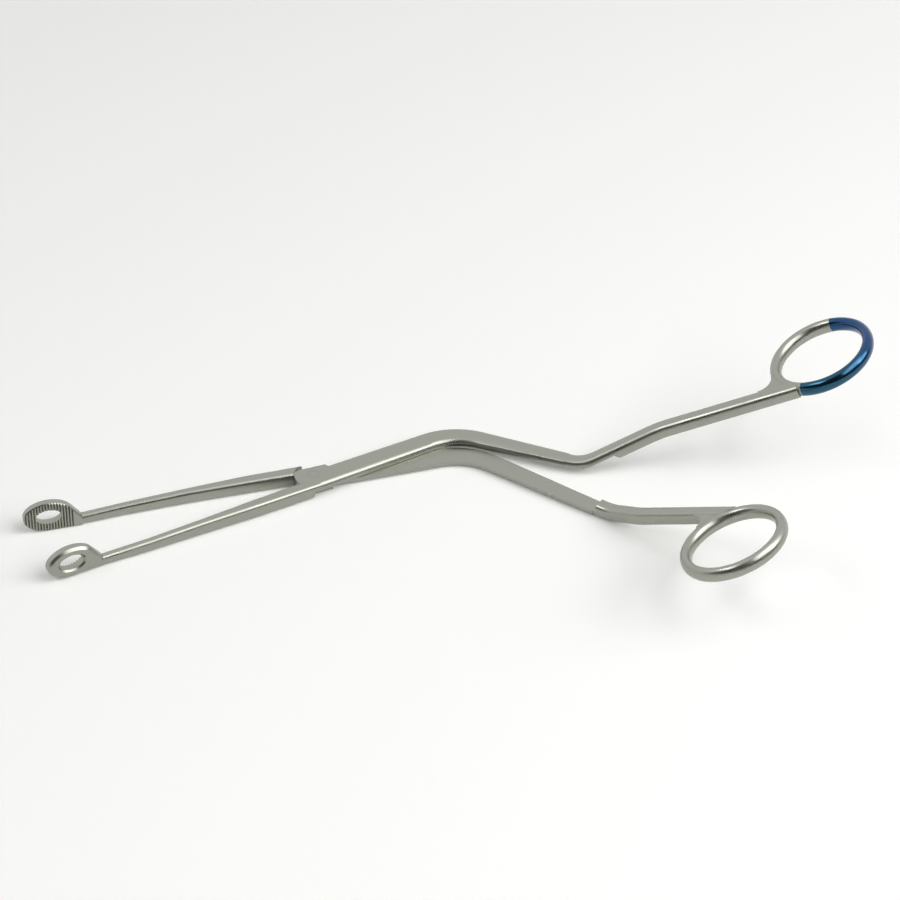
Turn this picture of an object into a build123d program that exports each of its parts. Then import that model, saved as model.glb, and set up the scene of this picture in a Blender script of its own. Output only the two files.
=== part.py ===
from build123d import *
from math import acos, atan2, cos, hypot, radians, sin, sqrt, tan
import os

# Magill forceps: two forged stainless arms that cross at a half-lapped joint.
# The origin is the foot of the pivot axis on the table. +Z runs up the pivot axis and -X points
# to the jaws. The far arm carries the far finger ring and the near jaw, and lies on top at the
# joint. The near arm carries the near finger ring and the far jaw. Both are drawn shut and are
# then turned about the pivot by half of the opening each. Shut, each arm keeps to its own side
# of the XZ plane as far as the first bend.

# Whole instrument
pivot_to_tip = 86.0
pivot_to_bend = 46.5
opening_deg = 13.88
thickness = 4.5

# Lap joint
lap_gap = 0.10
shoulder_radius = 5.8
shoulder_clearance = 0.12
lap_flare_width = 3.7
lap_flare_end = 2.0
lap_flare_start = 6.0
rivet_diameter = 3.2
rivet_clearance = 0.04

# Jaw shanks, from the lap joint to the neck behind the jaw: distance from the pivot, gap to the
# plane between the jaws, width and height
shut_gap = 0.10
shank_joint = (0.0, 1.2, 4.15, 4.5)
shank_upper = (20.0, 1.35, 3.75, 4.5)
shank_middle = (37.0, 1.5, 2.9, 4.2)
shank_lower = (55.0, 1.1, 2.65, 3.6)
neck_width = 2.6
neck_height = 3.1
shank_corner = 1.1

# Jaws: oval plates that stand up from the shanks, with a window and a grooved gripping face
jaw_length = 14.8
jaw_height = 10.0
jaw_thickness = 2.8
neck_run = 2.4
window_length = 7.7
window_height = 4.9
window_bevel = 0.5
back_bevel = 0.7
grip_bevel = 0.3
groove_pitch = 0.85
groove_depth = 0.38
groove_land = 0.25

# Middle part, from the joint round the first bend to the second, half as thick as the handle
first_bend_deg = 49.1
middle_offset = 1.45
middle_length_far = 41.0
middle_length_near = 50.5
joint_width = 7.7
bend_width = 6.5
middle_end_width = 5.0
middle_end_before_bend = 5.0
first_bend_radius = 19.0
step_before_bend = 4.2

# Handles: they leave the opening plane, splay apart and then run on to the rings
bar_width = 4.5
bar_corner = 1.6
second_bend_radius = 12.0
handle_rise_deg = 25.0
handle_heading_deg = -35.9
splay_deg_far = 16.3
splay_deg_near = 19.0
splay_length_far = 24.8
splay_length_near = 11.6
run_deg_far = 1.2
run_deg_near = 9.8
run_length_far = 50.8
run_length_near = 39.9
third_bend_radius = 20.0
relief_length = 10.0
relief_ramp = 3.0
relief_clearance = 0.25

# Finger rings
ring_bore = 25.5
ring_wall = 3.3
ring_depth = 4.4
ring_inset = 1.7
web_radius = 4.0
web_thickness = 3.6

# Blue colour band, a thin sleeve let flush into the far ring
band_start_deg = -111.7
band_end_deg = 79.3
band_thickness = 0.15
band_fit = 0.02

half_thickness = thickness / 2
half_opening = opening_deg / 2
neck_length = jaw_length + neck_run
ring_radius = (ring_bore + ring_wall) / 2
ring_offset = ring_radius - ring_inset
bar_end_before_foot = sqrt(ring_radius**2 - ring_offset**2)
mill_margin = 15.0


def direction(angle_deg):
    """Unit vector in the XY plane at an angle from +X."""
    return Vector(cos(radians(angle_deg)), sin(radians(angle_deg)), 0)


def flat(point):
    """Place of a point on the XY plane."""
    return Vector(point.X, point.Y)


def handle_plane(bend):
    """Plane of one handle and its ring, which rises from the second bend along the heading."""
    sideways = direction(handle_heading_deg + 90)
    rise = radians(handle_rise_deg)
    uphill = direction(handle_heading_deg) * cos(rise) + Vector(0, 0, sin(rise))
    return Plane(origin=bend, x_dir=uphill, z_dir=uphill.cross(sideways))


def section_plane(ring, angle_deg):
    """Plane of the ring's cross-section at an angle round the ring: x is outward, y is up."""
    outward = ring.from_local_coords(direction(angle_deg)) - ring.origin
    return Plane(origin=ring.origin, x_dir=outward, z_dir=outward.cross(ring.z_dir))


def make_jaw(jaw_side):
    """Jaw and its shank, drawn shut: a tapered shank and an oval plate with window and grooves."""
    oval_x = -pivot_to_tip + jaw_length / 2
    oval_z = jaw_height / 2
    neck_x = -pivot_to_tip + neck_length
    rise, run = neck_height - oval_z, neck_x - oval_x
    touch = atan2(rise / oval_z, run / (jaw_length / 2)) + acos(
        1 / hypot(run / (jaw_length / 2), rise / oval_z)
    )
    grip_y = jaw_side * shut_gap
    with BuildPart() as plate:
        # Outline: the oval, run out in a straight tangent to the neck
        with BuildSketch(Plane(origin=(0, grip_y, 0), x_dir=(1, 0, 0), z_dir=(0, -1, 0))):
            with Locations((oval_x, oval_z)):
                Ellipse(jaw_length / 2, jaw_height / 2)
            with BuildLine():
                Polyline(
                    (oval_x + jaw_length / 2 * cos(touch), oval_z + oval_z * sin(touch)),
                    (oval_x, oval_z),
                    (oval_x, 0),
                    (neck_x, 0),
                    (neck_x, neck_height),
                    close=True,
                )
            make_face()
            with Locations((oval_x, oval_z)):
                Ellipse(window_length / 2, window_height / 2, mode=Mode.SUBTRACT)
        extrude(amount=-jaw_side * jaw_thickness)
        back = plate.faces().filter_by(Axis.Y).sort_by(Axis.Y)[0 if jaw_side < 0 else -1]
        chamfer(back.outer_wire().edges(), length=back_bevel)
        back = plate.faces().filter_by(Axis.Y).sort_by(Axis.Y)[0 if jaw_side < 0 else -1]
        chamfer(back.inner_wires()[0].edges(), length=window_bevel)
        front = plate.faces().filter_by(Axis.Y).sort_by(Axis.Y)[-1 if jaw_side < 0 else 0]
        chamfer(front.outer_wire().edges(), length=grip_bevel)
        # Grooves across the gripping face
        grooves = int(jaw_length / groove_pitch)
        with BuildSketch():
            for i in range(grooves):
                start = -pivot_to_tip + groove_pitch * (i + 0.5)
                end = start + groove_pitch - groove_land
                with BuildLine():
                    Polyline(
                        (start, grip_y - jaw_side * shut_gap),
                        (end, grip_y - jaw_side * shut_gap),
                        ((start + end) / 2, grip_y + jaw_side * groove_depth),
                        close=True,
                    )
                make_face()
        extrude(amount=jaw_height, mode=Mode.SUBTRACT)

    with BuildPart() as shank:
        stations = [
            shank_joint,
            shank_upper,
            shank_middle,
            shank_lower,
            (pivot_to_tip - neck_length + neck_width, shut_gap, neck_width, neck_height),
        ]
        for distance, inner, width, height in stations:
            place = Vector(-distance, jaw_side * (inner + width / 2), height / 2)
            with BuildSketch(Plane(origin=place, x_dir=(0, 1, 0), z_dir=(-1, 0, 0))):
                RectangleRounded(width, height, shank_corner)
        loft(ruled=True)

    with BuildPart() as jaw:
        add(shank.part)
        add(plate.part)
    return jaw.part


def bend_corners(jaw_side, middle_length):
    """Corners of an arm's centre line: over the joint, at the first bend and at the second."""
    offset = jaw_side * middle_offset
    joint = Vector(0, offset, half_thickness)
    first = joint + Vector(pivot_to_bend + offset * tan(radians(first_bend_deg / 2)), 0, 0)
    return joint, first, first + direction(-first_bend_deg) * middle_length


def make_middle(joint, first_bend, end):
    """Flat middle part round the first bend, which narrows towards the handle."""
    across = direction(90 - first_bend_deg)
    mitre = direction(90 - first_bend_deg / 2) / cos(radians(first_bend_deg / 2))
    with BuildPart() as middle:
        with BuildSketch() as outline:
            with BuildLine():
                Polyline(
                    flat(joint + Vector(0, joint_width / 2)),
                    flat(first_bend + mitre * bend_width / 2),
                    flat(end + across * middle_end_width / 2),
                    flat(end - across * middle_end_width / 2),
                    flat(first_bend - mitre * bend_width / 2),
                    flat(joint - Vector(0, joint_width / 2)),
                    close=True,
                )
            make_face()
            outer_corner = outline.vertices().sort_by(Axis((0, 0, 0), mitre))[-1]
            fillet(outer_corner, radius=first_bend_radius + bend_width / 2)
        extrude(amount=thickness)
        rims = middle.faces().filter_by(Axis.Z).edges()
        long_rims = rims.filter_by(
            lambda rim: rim.center().X > joint_width and (rim.center() - end).length > bend_width
        )
        fillet(long_rims, radius=bar_corner)
    return middle.part


def make_bar(handle, start, third_bend, bar_end):
    """Handle bar with rounded corners, from the end of the middle part up to the ring."""
    with BuildPart() as bar:
        with BuildLine():
            route = FilletPolyline(
                start,
                handle.origin,
                handle.from_local_coords(third_bend),
                handle.from_local_coords(bar_end),
                radius=[second_bend_radius, third_bend_radius],
            )
        with BuildSketch(Plane(origin=start, x_dir=direction(90 - first_bend_deg), z_dir=route % 0)):
            RectangleRounded(bar_width, thickness, bar_corner)
        sweep()
    return bar.part


def make_ring(ring, banded):
    """Finger ring of oval section with its web to the bar, and a seat if it carries the band."""
    outer_radius = ring_radius + ring_wall / 2
    notch_y = -ring_offset + bar_width / 2 + web_radius
    notch_x = -sqrt((outer_radius + web_radius) ** 2 - notch_y**2)
    notch = Vector(notch_x, notch_y)
    with BuildPart() as finger_ring:
        seat_sweep = band_end_deg - band_start_deg if banded else 0
        with BuildSketch(section_plane(ring, band_end_deg)):
            with Locations((ring_radius, 0)):
                Ellipse(ring_wall / 2, ring_depth / 2)
        revolve(axis=Axis(ring.origin, ring.z_dir), revolution_arc=360 - seat_sweep)
        if banded:
            with BuildSketch(section_plane(ring, band_start_deg)):
                with Locations((ring_radius, 0)):
                    Ellipse(ring_wall / 2 - band_thickness, ring_depth / 2 - band_thickness)
            revolve(axis=Axis(ring.origin, ring.z_dir), revolution_arc=seat_sweep)
        # Web in the fork between the bar and the ring
        with BuildSketch(ring):
            with BuildLine():
                on_ring = notch * (outer_radius / notch.length)
                on_bar = Vector(notch_x, notch_y - web_radius)
                Polyline(
                    on_bar,
                    (notch_x, -ring_offset),
                    (-bar_end_before_foot, -ring_offset),
                    notch * (ring_radius / notch.length),
                    on_ring,
                )
                RadiusArc(on_ring, on_bar, web_radius)
            make_face()
        extrude(amount=web_thickness / 2, both=True)
    return finger_ring.part


def make_arm(on_top, middle_length, splay_deg, splay_length, run_deg, run_length):
    """One forged arm, drawn shut, and the plane of its finger ring, whose x runs along the bar."""
    jaw_side = -1 if on_top else 1
    ring_side = -jaw_side
    along = direction(-first_bend_deg)
    joint, first_bend, second_bend = bend_corners(jaw_side, middle_length)
    handle = handle_plane(second_bend)
    third_bend = direction(ring_side * splay_deg) * splay_length
    run = direction(ring_side * run_deg)
    foot = third_bend + run * run_length
    ring = Plane(
        origin=handle.from_local_coords(foot + direction(ring_side * (run_deg + 90)) * ring_offset),
        x_dir=handle.from_local_coords(run) - handle.origin,
        z_dir=handle.z_dir * ring_side,
    )
    bar_end = foot - run * bar_end_before_foot
    middle_end = second_bend - along * middle_end_before_bend
    lap_seam = jaw_side * (shank_joint[1] + bar_corner)

    with BuildPart() as arm:
        add(make_middle(joint, first_bend, middle_end))
        add(make_bar(handle, middle_end - along, third_bend, bar_end))
        add(make_jaw(jaw_side))
        # Lap plate round the pivot, flared towards the other arm's shank
        with BuildSketch():
            with BuildLine():
                Polyline(
                    (lap_flare_start, lap_seam),
                    (lap_flare_start, joint.Y - jaw_side * joint_width / 2),
                    (-lap_flare_end, -jaw_side * lap_flare_width),
                    (-shoulder_radius, -jaw_side * lap_flare_width),
                    (-shoulder_radius, lap_seam),
                    close=True,
                )
            make_face()
            Circle(shoulder_radius - shoulder_clearance, mode=Mode.INTERSECT)
        extrude(amount=thickness)

        # The other arm's half is milled away, from the shoulder to the handle
        step = second_bend - along * step_before_bend
        across = direction(90 - first_bend_deg) * mill_margin
        far = handle.from_local_coords(bar_end).X
        floor = -thickness if on_top else half_thickness - lap_gap / 2
        depth = thickness + half_thickness + lap_gap / 2 if on_top else 2 * thickness
        with BuildSketch(Plane.XY.offset(floor)):
            with BuildLine():
                if on_top:
                    Polyline((0, far), (far, far), (far, -far), (0, -far), close=True)
                else:
                    Polyline(
                        (0, mill_margin),
                        (pivot_to_bend + mill_margin, mill_margin),
                        flat(step + across),
                        flat(step - across),
                        (pivot_to_bend - mill_margin, -mill_margin),
                        (0, -mill_margin),
                        close=True,
                    )
            make_face()
            Circle(shoulder_radius)
        extrude(amount=depth, mode=Mode.SUBTRACT)

        # Past the second bend the far handle stays thin until it has left the near one sideways
        far_handle = handle_plane(bend_corners(-1, middle_length_far)[2])
        if on_top:
            with BuildSketch(
                Plane(origin=far_handle.origin, x_dir=far_handle.x_dir, z_dir=-far_handle.y_dir)
            ):
                with BuildLine():
                    Polyline(
                        (0, lap_gap / 2),
                        (relief_length, lap_gap / 2),
                        (relief_length + relief_ramp, -thickness),
                        (0, -thickness),
                        close=True,
                    )
                make_face()
            extrude(amount=mill_margin, both=True, mode=Mode.SUBTRACT)
        else:
            side = (bar_width / 2 + relief_clearance) / cos(radians(splay_deg_far))
            with BuildSketch(far_handle.offset(-lap_gap / 2)):
                with BuildLine():
                    Polyline(
                        (0, -side),
                        direction(splay_deg_far) * mill_margin - Vector(0, side),
                        (mill_margin, mill_margin),
                        (0, mill_margin),
                        close=True,
                    )
                make_face()
            extrude(amount=2 * thickness, mode=Mode.SUBTRACT)

        # Rivet hole
        with BuildSketch():
            Circle(rivet_diameter / 2 + rivet_clearance)
        extrude(amount=2 * thickness, both=True, mode=Mode.SUBTRACT)
        # The bar stops inside the ring's wall, so that the bore stays round
        with BuildSketch(ring):
            Circle(ring_radius)
        extrude(amount=thickness, both=True, mode=Mode.SUBTRACT)
        add(make_ring(ring, on_top))
    return arm.part, ring


far_arm, far_ring = make_arm(
    True, middle_length_far, splay_deg_far, splay_length_far, run_deg_far, run_length_far
)
near_arm, near_ring = make_arm(
    False, middle_length_near, splay_deg_near, splay_length_near, run_deg_near, run_length_near
)

with BuildPart() as rivet:
    with BuildSketch():
        Circle(rivet_diameter / 2)
    extrude(amount=thickness)

with BuildPart() as band:
    with BuildSketch(section_plane(far_ring, band_start_deg)):
        with Locations((ring_radius, 0)):
            Ellipse(ring_wall / 2, ring_depth / 2)
            Ellipse(
                ring_wall / 2 - band_thickness + band_fit,
                ring_depth / 2 - band_thickness + band_fit,
                mode=Mode.SUBTRACT,
            )
    revolve(axis=Axis(far_ring.origin, far_ring.z_dir), revolution_arc=band_end_deg - band_start_deg)

os.makedirs("parts", exist_ok=True)
pieces = {
    "far_arm": far_arm.rotate(Axis.Z, half_opening),
    "near_arm": near_arm.rotate(Axis.Z, -half_opening),
    "pivot_rivet": rivet.part,
    "colour_band": band.part.rotate(Axis.Z, half_opening),
}
for name, piece in pieces.items():
    piece.label = name
    export_step(piece, f"parts/{name}.step")
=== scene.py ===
"""Looks of the magill forceps: satin forged arms, a flush rivet and a blue colour band.

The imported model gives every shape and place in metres. The frame's origin is the foot of the
pivot axis, +Z runs up that axis and -X points to the jaws.
"""

import logging
from dataclasses import dataclass, field
from enum import Enum
from math import cos, pi, radians, sin, tan

import bmesh
import bpy
from mathutils import Matrix, Vector


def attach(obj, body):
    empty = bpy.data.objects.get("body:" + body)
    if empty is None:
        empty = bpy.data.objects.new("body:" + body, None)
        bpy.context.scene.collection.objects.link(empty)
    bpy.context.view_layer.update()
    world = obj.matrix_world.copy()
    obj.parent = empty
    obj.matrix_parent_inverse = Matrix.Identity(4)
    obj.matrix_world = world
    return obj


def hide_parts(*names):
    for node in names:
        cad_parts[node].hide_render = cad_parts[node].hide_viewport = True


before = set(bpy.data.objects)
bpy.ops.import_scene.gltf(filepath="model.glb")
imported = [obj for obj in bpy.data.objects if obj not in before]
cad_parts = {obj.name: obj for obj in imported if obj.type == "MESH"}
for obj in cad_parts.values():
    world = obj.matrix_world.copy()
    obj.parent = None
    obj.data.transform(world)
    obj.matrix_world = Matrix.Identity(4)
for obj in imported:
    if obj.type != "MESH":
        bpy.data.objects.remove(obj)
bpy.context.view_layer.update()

MILLIMETRE = 0.001

logging.basicConfig(level=logging.INFO, format="%(levelname)s %(message)s")
log = logging.getLogger("magill_forceps")


class Grain(Enum):
    """How a steel surface was worked last, as the stretch of its fine grain along X, Y and Z."""

    SATIN = (1.0, 1.0, 1.0)
    GROUND = (0.15, 1.0, 1.0)


def linear(hex_colour: str) -> tuple[float, float, float, float]:
    """Turn an sRGB colour into the linear one that a shader takes.

    Args:
        hex_colour: the colour as six hexadecimal digits.

    Returns:
        Red, green, blue and an alpha of one.
    """
    channels = [int(hex_colour[i : i + 2], 16) / 255 for i in (0, 2, 4)]
    steps = [c / 12.92 if c <= 0.04045 else ((c + 0.055) / 1.055) ** 2.4 for c in channels]
    return steps[0], steps[1], steps[2], 1.0


def add_node(
    tree: bpy.types.NodeTree,
    kind: str,
    values: dict[str | int, object] | None = None,
    links: dict[str | int, bpy.types.NodeSocket] | None = None,
    **settings: object,
) -> bpy.types.Node:
    """Add one node with its settings, its socket values and its incoming links.

    Args:
        tree: the node tree that gets the node.
        kind: the node's type name.
        values: default values by input name or number.
        links: sockets to link, by input name or number.
        settings: attributes of the node itself.

    Returns:
        The new node.
    """
    node = tree.nodes.new(kind)
    for name, value in settings.items():
        setattr(node, name, value)
    for name, value in (values or {}).items():
        node.inputs[name].default_value = value
    for name, socket in (links or {}).items():
        tree.links.new(socket, node.inputs[name])
    return node


@dataclass(frozen=True)
class ForgedSteel:
    """Stainless steel, forged, tumbled and satin polished, or ground where Grain says so.

    It gives a soft, slightly warm grey with broad highlights and no mirror image.
    """

    name: str
    colour: str = "9C9D94"
    roughness: float = 0.31
    roughness_spread: float = 0.06
    grain: Grain = Grain.SATIN
    cloud_mm: float = 6.0
    cloud_detail: float = 3.0
    cloud_break_up: float = 0.55
    cloud_range: tuple[float, float] = (0.3, 0.7)
    pit_mm: float = 0.35
    pit_detail: float = 2.0
    pit_break_up: float = 0.5
    pit_depth_mm: float = 0.0015
    pit_strength: float = 0.35

    def build(self) -> bpy.types.Material:
        """Make the material.

        Returns:
            A metal with a cloudy satin and a fine pitted grain.
        """
        material = bpy.data.materials.new(self.name)
        material.use_nodes = True
        tree = material.node_tree
        tree.nodes.clear()
        place = add_node(tree, "ShaderNodeTexCoord").outputs["Object"]
        clouds = add_node(
            tree,
            "ShaderNodeTexNoise",
            {
                "Scale": 1 / (self.cloud_mm * MILLIMETRE),
                "Detail": self.cloud_detail,
                "Roughness": self.cloud_break_up,
            },
            {"Vector": place},
        )
        satin = add_node(
            tree,
            "ShaderNodeMapRange",
            {
                "From Min": self.cloud_range[0],
                "From Max": self.cloud_range[1],
                "To Min": self.roughness - self.roughness_spread,
                "To Max": self.roughness + self.roughness_spread,
            },
            {"Value": clouds.outputs["Fac"]},
        )
        stretched = add_node(
            tree, "ShaderNodeMapping", {"Scale": self.grain.value}, {"Vector": place}
        )
        pits = add_node(
            tree,
            "ShaderNodeTexNoise",
            {
                "Scale": 1 / (self.pit_mm * MILLIMETRE),
                "Detail": self.pit_detail,
                "Roughness": self.pit_break_up,
            },
            {"Vector": stretched.outputs["Vector"]},
        )
        bump = add_node(
            tree,
            "ShaderNodeBump",
            {"Strength": self.pit_strength, "Distance": self.pit_depth_mm * MILLIMETRE},
            {"Height": pits.outputs["Fac"]},
        )
        shader = add_node(
            tree,
            "ShaderNodeBsdfPrincipled",
            {"Base Color": linear(self.colour), "Metallic": 1.0},
            {"Roughness": satin.outputs["Result"], "Normal": bump.outputs["Normal"]},
        )
        add_node(tree, "ShaderNodeOutputMaterial", links={"Surface": shader.outputs["BSDF"]})
        return material


@dataclass(frozen=True)
class ColourCoat:
    """Glossy blue colour-code coat over steel.

    Its tint shifts slowly from teal at the band's ends to violet blue at the ring's crown. The
    coat itself is one blue; this shift is a painted reflection tint that stands in for the sheen
    the light gives the ends and the crown.
    """

    name: str
    # Painted reflection tints over the one blue coat: teal at the band's ends, violet blue at the
    # crown.
    end_reflection_tint: str = "235067"
    crown_reflection_tint: str = "234578"
    reflection_tint_span_mm: tuple[float, float] = (146.0, 160.0)
    roughness: float = 0.17
    metallic: float = 1.0
    coat: float = 0.3
    coat_roughness: float = 0.06

    def build(self) -> bpy.types.Material:
        """Make the material.

        Returns:
            A blue metallic lacquer with a clear top.
        """
        material = bpy.data.materials.new(self.name)
        material.use_nodes = True
        tree = material.node_tree
        tree.nodes.clear()
        place = add_node(tree, "ShaderNodeTexCoord").outputs["Object"]
        along = add_node(tree, "ShaderNodeSeparateXYZ", links={"Vector": place})
        share = add_node(
            tree,
            "ShaderNodeMapRange",
            {
                "From Min": self.reflection_tint_span_mm[0] * MILLIMETRE,
                "From Max": self.reflection_tint_span_mm[1] * MILLIMETRE,
            },
            {"Value": along.outputs["X"]},
        )
        # Painted reflection: blend the coat from the teal end tint to the violet blue crown tint
        # along X.
        tint = add_node(
            tree,
            "ShaderNodeMix",
            {6: linear(self.end_reflection_tint), 7: linear(self.crown_reflection_tint)},
            {0: share.outputs["Result"]},
            data_type="RGBA",
        )
        shader = add_node(
            tree,
            "ShaderNodeBsdfPrincipled",
            {
                "Metallic": self.metallic,
                "Roughness": self.roughness,
                "Coat Weight": self.coat,
                "Coat Roughness": self.coat_roughness,
            },
            {"Base Color": tint.outputs[2]},
        )
        add_node(tree, "ShaderNodeOutputMaterial", links={"Surface": shader.outputs["BSDF"]})
        return material


@dataclass
class BendRound:
    """Rounded inside of an arm's first bend, which fills the corner between its straights.

    Lengths are in millimetres. The arm is drawn shut, with the pivot on the Z axis and the jaws
    towards -X, and is then turned about the pivot to its place in the half-open instrument.
    """

    on_top: bool
    middle_length: float
    open_turn_deg: float = 6.94
    thickness: float = 4.5
    lap_gap: float = 0.10
    pivot_to_bend: float = 46.5
    bend_deg: float = 49.1
    side_offset: float = 1.45
    joint_width: float = 7.7
    bend_width: float = 6.5
    end_width: float = 5.0
    end_before_bend: float = 5.0
    bend_radius: float = 19.0
    edge_radius: float = 1.6
    bend_steps: int = 24
    edge_steps: int = 12

    def corner(self) -> tuple[Vector, Vector, Vector]:
        """Place the sharp inner corner and the directions of the edges that meet there.

        Returns:
            The corner, the direction of travel before it and the direction after it.
        """
        offset = -self.side_offset if self.on_top else self.side_offset
        half_bend = radians(self.bend_deg) / 2
        along = Vector((cos(2 * half_bend), -sin(2 * half_bend)))
        across = Vector((sin(2 * half_bend), cos(2 * half_bend)))
        mitre = Vector((sin(half_bend), cos(half_bend))) / cos(half_bend)
        joint = Vector((0.0, offset))
        bend = joint + Vector((self.pivot_to_bend + offset * tan(half_bend), 0.0))
        end = bend + along * (self.middle_length - self.end_before_bend)
        corner = bend - mitre * self.bend_width / 2
        start = joint - Vector((0.0, self.joint_width / 2))
        finish = end - across * self.end_width / 2
        return corner, (corner - start).normalized(), (finish - corner).normalized()

    def section(self, radius: float, spread: float) -> list[tuple[float, float]]:
        """Outline of the filled corner at one angle, as distance from the arc's centre and height.

        Args:
            radius: radius of the rounded inside wall.
            spread: how many times further out the arm's own straight edges lie at this angle.

        Returns:
            The outline's points, from the milled face round the outer edge and back.
        """
        half = self.thickness / 2
        gap = self.lap_gap / 2
        milled, wall_end, flat = half + gap, self.thickness - self.edge_radius, self.thickness
        points = [(radius, milled)]
        for step in range(self.edge_steps + 1):
            turn = pi / 2 * step / self.edge_steps
            points.append(
                (
                    radius + self.edge_radius * (1 - cos(turn)),
                    wall_end + self.edge_radius * sin(turn),
                )
            )
        points.append(((radius + self.edge_radius) * spread, flat))
        points.append((radius * spread, milled))
        if not self.on_top:
            points = [(out, self.thickness - height) for out, height in points]
        return points

    def add_to(self, shell: bmesh.types.BMesh) -> None:
        """Add the filled corner to an arm's surface.

        Args:
            shell: the surface, in metres and in the half-open instrument's place.
        """
        corner, before, after = self.corner()
        bend = before.angle(after)
        radius = self.bend_radius - self.bend_width / 2
        right = Vector((before.y, -before.x))
        centre = corner - before * radius * tan(bend / 2) + right * radius
        turn = Matrix.Rotation(
            radians(self.open_turn_deg if self.on_top else -self.open_turn_deg), 3, "Z"
        )
        rows = []
        for step in range(self.bend_steps + 1):
            angle = bend * step / self.bend_steps
            out = Matrix.Rotation(-angle, 2) @ -right
            spread = 1 / cos(min(angle, bend - angle))
            row = []
            for distance, height in self.section(radius, spread):
                place = centre + out * distance
                point = turn @ Vector((place.x, place.y, height))
                row.append(shell.verts.new(point * MILLIMETRE))
            rows.append(row)
        faces = [shell.faces.new(rows[0]), shell.faces.new(rows[-1])]
        for row, following in zip(rows, rows[1:]):
            for i, vertex in enumerate(row):
                j = (i + 1) % len(row)
                faces.append(shell.faces.new((vertex, row[j], following[j], following[i])))
        bmesh.ops.recalc_face_normals(shell, faces=faces)


@dataclass
class SteelPiece:
    """One piece of the instrument, shown as a smooth-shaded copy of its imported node."""

    node: str
    body: str
    slot: str
    finish: ForgedSteel | ColourCoat
    crease_deg: float = 24.0
    merge_mm: float = 0.0005
    bend_round: BendRound | None = None
    piece: bpy.types.Object | None = field(default=None, init=False)

    def build_mesh(self) -> bpy.types.Object:
        """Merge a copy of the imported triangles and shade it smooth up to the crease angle.

        Returns:
            The new object, at the origin and in no body yet.
        """
        shell = bmesh.new()
        shell.from_mesh(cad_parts[self.node].data)
        bmesh.ops.remove_doubles(shell, verts=shell.verts, dist=self.merge_mm * MILLIMETRE)
        bmesh.ops.dissolve_degenerate(shell, edges=shell.edges, dist=self.merge_mm * MILLIMETRE)
        if self.bend_round:
            self.bend_round.add_to(shell)
        crease = radians(self.crease_deg)
        for face in shell.faces:
            face.smooth = True
        for edge in shell.edges:
            edge.smooth = len(edge.link_faces) == 2 and edge.calc_face_angle() < crease
        mesh = bpy.data.meshes.new(f"{self.node}_surface")
        shell.to_mesh(mesh)
        shell.free()
        self.piece = bpy.data.objects.new(f"{self.node}_surface", mesh)
        bpy.context.scene.collection.objects.link(self.piece)
        return self.piece

    def dress(self) -> None:
        """Give the piece its finish and its place among the moving bodies."""
        self.piece.data.materials.clear()
        self.piece.data.materials.append(self.finish.build())
        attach(self.piece, self.body)
        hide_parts(self.node)

    def make(self) -> None:
        """Build and dress the piece and report it."""
        self.build_mesh()
        self.dress()
        log.info("%s: %d faces in %s", self.node, len(self.piece.data.polygons), self.finish.name)


@dataclass
class Forceps:
    """The whole instrument: two arms, the rivet that joins them and the colour band."""

    steel: ForgedSteel = ForgedSteel("satin_forged_stainless_steel")
    rivet_steel: ForgedSteel = ForgedSteel("ground_stainless_steel", grain=Grain.GROUND)
    coat: ColourCoat = ColourCoat("blue_colour_code_coat")

    def make(self) -> None:
        """Build every piece in order."""
        pieces = (
            SteelPiece(
                "near_arm",
                "near_side",
                "near_arm_steel",
                self.steel,
                bend_round=BendRound(on_top=False, middle_length=50.5),
            ),
            SteelPiece(
                "far_arm",
                "far_side",
                "far_arm_steel",
                self.steel,
                bend_round=BendRound(on_top=True, middle_length=41.0),
            ),
            SteelPiece("pivot_rivet", "near_side", "rivet_steel", self.rivet_steel),
            SteelPiece("colour_band", "far_side", "blue_band", self.coat),
        )
        for piece in pieces:
            piece.make()


@dataclass(frozen=True)
class Lamp:
    """One soft rectangular lamp of the studio."""

    name: str
    place: tuple[float, float, float]
    size: tuple[float, float]
    watts: float
    target: tuple[float, float, float] = (0.03, -0.02, 0.01)

    def make(self) -> None:
        """Add the lamp, turned to its target."""
        data = bpy.data.lights.new(self.name, "AREA")
        data.shape = "RECTANGLE"
        data.size, data.size_y = self.size
        data.energy = self.watts
        lamp = bpy.data.objects.new(self.name, data)
        lamp.location = self.place
        aim = Vector(self.target) - Vector(self.place)
        lamp.rotation_euler = aim.to_track_quat("-Z", "Y").to_euler()
        bpy.context.scene.collection.objects.link(lamp)


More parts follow.
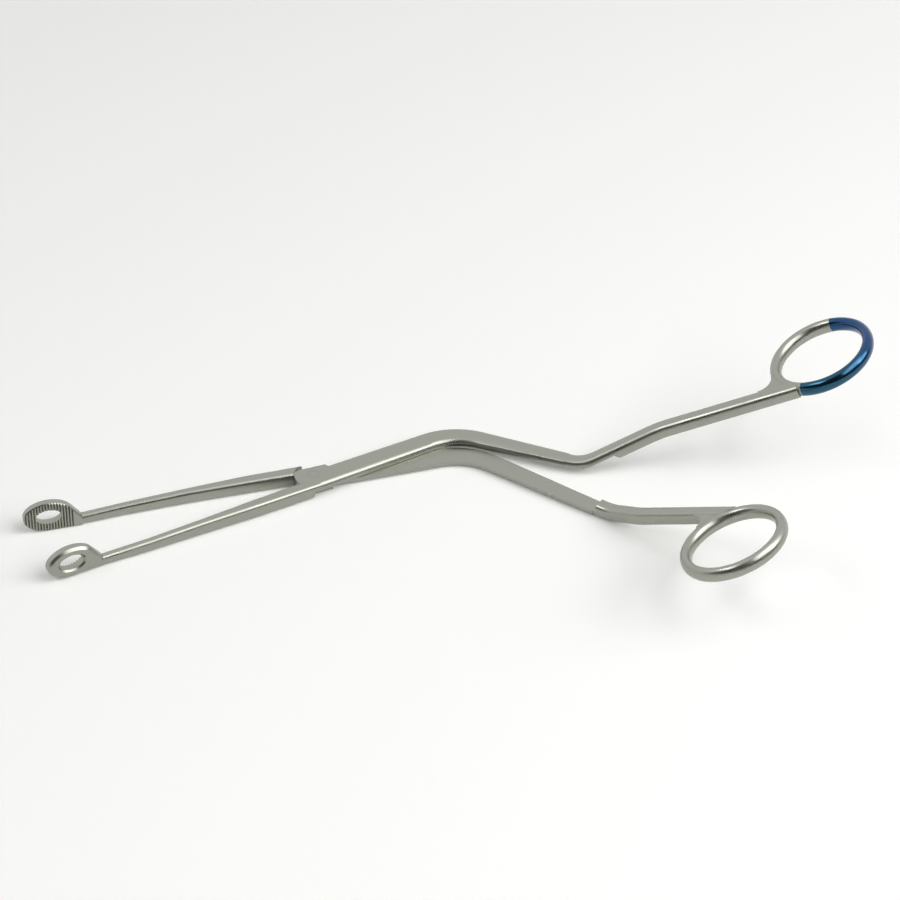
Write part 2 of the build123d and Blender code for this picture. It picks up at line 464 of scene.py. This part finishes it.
@dataclass
class Studio:
    """White floor, pale surroundings, soft lamps and the photograph's camera."""

    floor_size: float = 6.0
    floor_gap: float = 0.0002
    floor_colour: str = "F4F4F2"
    floor_roughness: float = 0.9
    floor_glow: float = 0.13
    surround_colour: str = "727271"
    room_colour: str = "555556"
    sweep_colour: str = "FFFFFF"
    sweep_towards: tuple[float, float, float] = (0.1, 0.9, 0.42)
    sweep_edge: tuple[float, float] = (-0.1, 0.35)
    eye: tuple[float, float, float] = (-0.28222, -0.81012, 0.7128)
    target: tuple[float, float, float] = (0.04342, 0.00068, 0.0)
    lens_mm: float = 151.6
    sensor_mm: float = 36.0
    far_clip: float = 20.0
    lamps: tuple[Lamp, ...] = (
        Lamp("key_lamp", (0.50, -0.72, 0.90), (0.95, 0.80), 7.0),
        Lamp("top_lamp", (0.42, -0.30, 1.20), (0.80, 0.60), 2.7),
        Lamp("side_lamp", (0.98, -0.44, 0.68), (0.60, 0.60), 4.5),
        Lamp("left_lamp", (-0.75, -0.05, 0.95), (0.75, 0.30), 3.2),
    )

    def seen_directly(self, tree: bpy.types.NodeTree, level: float) -> bpy.types.NodeSocket:
        """Give a level to rays from the camera, mirrored rays and rays through glass.

        Args:
            tree: the node tree that gets the nodes.
            level: the value for those rays; all others get zero.

        Returns:
            The socket with the value.
        """
        path = add_node(tree, "ShaderNodeLightPath")
        direct = path.outputs["Is Camera Ray"]
        for other in ("Is Glossy Ray", "Is Transmission Ray"):
            direct = add_node(
                tree,
                "ShaderNodeMath",
                links={0: direct, 1: path.outputs[other]},
                operation="MAXIMUM",
            ).outputs["Value"]
        return add_node(
            tree, "ShaderNodeMath", {1: level}, {0: direct}, operation="MULTIPLY"
        ).outputs["Value"]

    def make_floor(self) -> None:
        """Lay the white floor that the instrument lies on."""
        shell = bmesh.new()
        bmesh.ops.create_grid(shell, x_segments=1, y_segments=1, size=self.floor_size / 2)
        bmesh.ops.translate(shell, verts=shell.verts, vec=(0, 0, -self.floor_gap))
        mesh = bpy.data.meshes.new("white_floor")
        shell.to_mesh(mesh)
        shell.free()
        floor = bpy.data.objects.new("white_floor", mesh)
        bpy.context.scene.collection.objects.link(floor)
        material = bpy.data.materials.new("white_matt_board")
        material.use_nodes = True
        tree = material.node_tree
        tree.nodes.clear()
        shader = add_node(
            tree,
            "ShaderNodeBsdfPrincipled",
            {"Base Color": linear(self.floor_colour), "Roughness": self.floor_roughness},
        )
        glow = add_node(
            tree,
            "ShaderNodeEmission",
            {"Color": linear("FFFFFF")},
            {"Strength": self.seen_directly(tree, self.floor_glow)},
        )
        both = add_node(tree, "ShaderNodeAddShader")
        tree.links.new(shader.outputs["BSDF"], both.inputs[0])
        tree.links.new(glow.outputs["Emission"], both.inputs[1])
        add_node(tree, "ShaderNodeOutputMaterial", links={"Surface": both.outputs["Shader"]})
        mesh.materials.append(material)

    def make_world(self) -> None:
        """Surround the instrument with an even grey that reads as a white sweep and a dim room.

        Light that falls on the instrument comes evenly from the grey. The camera, and metal that
        mirrors the surroundings, see the white sweep behind, and metal sees the room in front.
        """
        world = bpy.data.worlds.new("studio")
        bpy.context.scene.world = world
        world.use_nodes = True
        tree = world.node_tree
        tree.nodes.clear()
        around = add_node(tree, "ShaderNodeBackground", {"Color": linear(self.surround_colour)})
        heading = add_node(tree, "ShaderNodeTexCoord").outputs["Generated"]
        towards = add_node(
            tree,
            "ShaderNodeVectorMath",
            {1: Vector(self.sweep_towards).normalized()},
            {0: heading},
            operation="DOT_PRODUCT",
        )
        share = add_node(
            tree,
            "ShaderNodeMapRange",
            {"From Min": self.sweep_edge[0], "From Max": self.sweep_edge[1]},
            {"Value": towards.outputs["Value"]},
            interpolation_type="SMOOTHSTEP",
        )
        seen = add_node(tree, "ShaderNodeLightPath")
        bright = add_node(
            tree,
            "ShaderNodeMath",
            links={0: share.outputs["Result"], 1: seen.outputs["Is Camera Ray"]},
            operation="MAXIMUM",
        )
        view = add_node(
            tree,
            "ShaderNodeMix",
            {6: linear(self.room_colour), 7: linear(self.sweep_colour)},
            {0: bright.outputs["Value"]},
            data_type="RGBA",
        )
        backdrop = add_node(tree, "ShaderNodeBackground", links={"Color": view.outputs[2]})
        pick = add_node(tree, "ShaderNodeMixShader", links={"Fac": self.seen_directly(tree, 1.0)})
        tree.links.new(around.outputs["Background"], pick.inputs[1])
        tree.links.new(backdrop.outputs["Background"], pick.inputs[2])
        add_node(tree, "ShaderNodeOutputWorld", links={"Surface": pick.outputs["Shader"]})

    def make_lamps(self) -> None:
        """Hang the soft lamps."""
        for lamp in self.lamps:
            lamp.make()

    def make_camera(self) -> None:
        """Set the photograph's camera."""
        data = bpy.data.cameras.new("camera")
        data.lens = self.lens_mm
        data.sensor_width = self.sensor_mm
        data.sensor_fit = "HORIZONTAL"
        data.clip_end = self.far_clip
        camera = bpy.data.objects.new("camera", data)
        camera.location = self.eye
        aim = Vector(self.target) - Vector(self.eye)
        camera.rotation_euler = aim.to_track_quat("-Z", "Y").to_euler()
        bpy.context.scene.collection.objects.link(camera)
        bpy.context.scene.camera = camera

    def make(self) -> None:
        """Set up the whole studio."""
        self.make_floor()
        self.make_world()
        self.make_lamps()
        self.make_camera()
        bpy.context.scene.view_settings.view_transform = "Standard"
        log.info("studio ready")


def main() -> None:
    """Build the dressed instrument and its studio."""
    Forceps().make()
    Studio().make()


if __name__ == "__main__":
    main()
